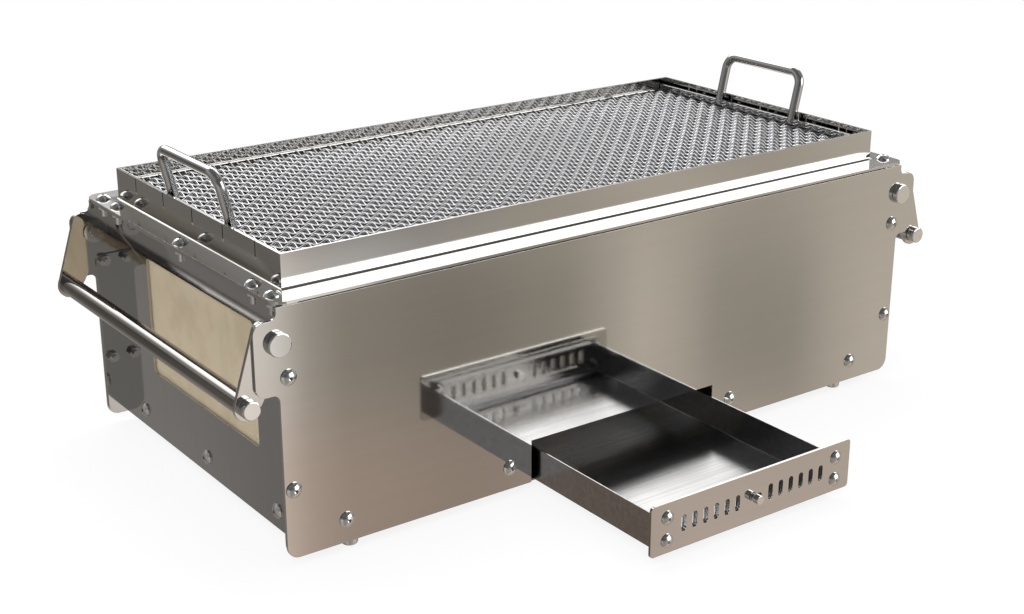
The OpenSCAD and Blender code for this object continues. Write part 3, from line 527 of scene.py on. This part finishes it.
# Cooking mesh. Round stainless wires are crimped and woven over and under each other, one crimp every two
# spaces, and welded into a frame of flat bars.
long_low, long_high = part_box("grate_long_wires")
cross_low, cross_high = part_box("grate_cross_wires")
wire_r = (cross_high.z - cross_low.z) / 2
mesh_z = cross_high.z
mesh_y = (cross_low.y + cross_high.y) / 2
mesh_pitch = 0.0077
crimp_steps = 8
spare_crimps = 3
wire_sides = 6
seam_share = 0.02
wire_tone = (0.62, 0.625, 0.64)
wire_gloss = 0.07
wire_streak_share = 0.15
long_count = round((long_high.y - long_low.y - 2 * wire_r) / mesh_pitch) + 1
cross_count = round((cross_high.x - cross_low.x - 2 * wire_r) / mesh_pitch) + 1

wire_steel = polished("wire_steel", wire_tone, wire_gloss, turned_streaks, wire_streak_share, swell=0)


def repeat(offset, times, merge):
    array = bpy.context.object.modifiers.new("repeat", "ARRAY")
    array.use_relative_offset = False
    array.use_constant_offset = True
    array.constant_offset_displace = offset
    array.count = times
    array.use_merge_vertices = merge
    array.merge_threshold = wire_r * seam_share
    bpy.ops.object.modifier_apply(modifier=array.name)


def crimped_strands(side, lift, others, count):
    """Every second wire of a layer: one crimp is drawn out, then repeated along the wire and beside it."""
    crimp = 2 * mesh_pitch
    start = -(others - 1) / 2 * mesh_pitch - crimp
    bpy.ops.object.select_all(action="DESELECT")
    bpy.ops.mesh.primitive_circle_add(
        vertices=wire_sides, radius=wire_r, rotation=(0, math.pi / 2, 0), location=(start, side, lift))
    bpy.ops.object.transform_apply(location=True, rotation=True, scale=True)
    bpy.ops.object.mode_set(mode="EDIT")
    bpy.ops.mesh.select_all(action="SELECT")
    for i in range(crimp_steps):
        rise = lift * (math.cos(math.tau * (i + 1) / crimp_steps) - math.cos(math.tau * i / crimp_steps))
        bpy.ops.mesh.extrude_region_move(TRANSFORM_OT_translate={"value": (crimp / crimp_steps, 0, rise)})
    bpy.ops.object.mode_set(mode="OBJECT")
    repeat((crimp, 0, 0), math.ceil((others - 1) / 2) + spare_crimps, True)
    repeat((0, crimp, 0), count // 2, False)
    return bpy.context.object


def woven(node, turned, span, others, count):
    """A whole layer of wires, cut to its span and stood in place of its CAD node."""
    first = -(count - 1) / 2 * mesh_pitch
    lift = -wire_r if turned else wire_r
    odd = crimped_strands(first, lift, others, count)
    even = crimped_strands(first + mesh_pitch, -lift, others, count)
    bpy.ops.object.select_all(action="DESELECT")
    odd.select_set(True)
    even.select_set(True)
    bpy.context.view_layer.objects.active = odd
    bpy.ops.object.join()
    bpy.ops.object.mode_set(mode="EDIT")
    for side in (-1, 1):
        bpy.ops.mesh.select_all(action="SELECT")
        bpy.ops.mesh.bisect(
            plane_co=(side * span / 2, 0, 0), plane_no=(side, 0, 0), clear_outer=True, use_fill=True)
    bpy.ops.mesh.select_all(action="SELECT")
    bpy.ops.mesh.normals_make_consistent(inside=False)
    bpy.ops.object.mode_set(mode="OBJECT")
    if turned:
        odd.rotation_euler.z = math.pi / 2
    odd.location = (0, mesh_y, mesh_z)
    bpy.ops.object.transform_apply(location=True, rotation=True, scale=True)
    bpy.ops.object.shade_smooth()
    odd.name = node + "_woven"
    odd.data.materials.append(wire_steel)
    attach(odd, body_of[node])
    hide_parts(node)


woven("grate_long_wires", False, long_high.x - long_low.x, cross_count, long_count)
woven("grate_cross_wires", True, cross_high.y - cross_low.y, long_count, cross_count)

# Grate bars and bails. Flat stainless bars frame the mesh, and a bail bent from one round rod stands on each
# end bar for lifting the grate.
bar_edge = 0.0004
rod_tone = (0.60, 0.60, 0.60)
rod_gloss = 0.07

rod_steel = polished("rod_steel", rod_tone, rod_gloss, turned_streaks, swell=0)
edged("grate_end_bar_left", rod_steel, bar_edge)
edged("grate_end_bar_right", rod_steel, bar_edge)
edged("grate_side_bars", rod_steel, bar_edge)
dress(rod_steel, "bail_left", "bail_right")

# Ash drawer. The tray is folded from 1 mm sheet, with small round bends, behind a 2 mm front plate that four
# screws hold. It slides in the body's notch.
tray_edge = 0.0004
tray_sheet = 0.001
tray_bend = 0.0015
tray_tone = (0.60, 0.61, 0.63)
tray_gloss = 0.2
tray_streak_share = 0.16
along_tray = (6, 300, 300)

tray_steel = polished("tray_steel", tray_tone, tray_gloss, along_tray, tray_streak_share)
edged("drawer_tray", tray_steel, tray_edge, tray_sheet, tray_bend)
edged("drawer_front", panel_steel, sheet_edge)
dress(bolt_steel, "drawer_screws", "drawer_nuts")

# Air vent. A shutter of sheet steel slides in two guides behind the front plate's slots. A turned knob with a
# narrow neck moves it, and a nut holds the knob on.
knob_edge = 0.0004

dress(end_steel, "vent_guides", "vent_shutter")
edged("vent_knob", bolt_steel, knob_edge)
dress(bolt_steel, "vent_nut")
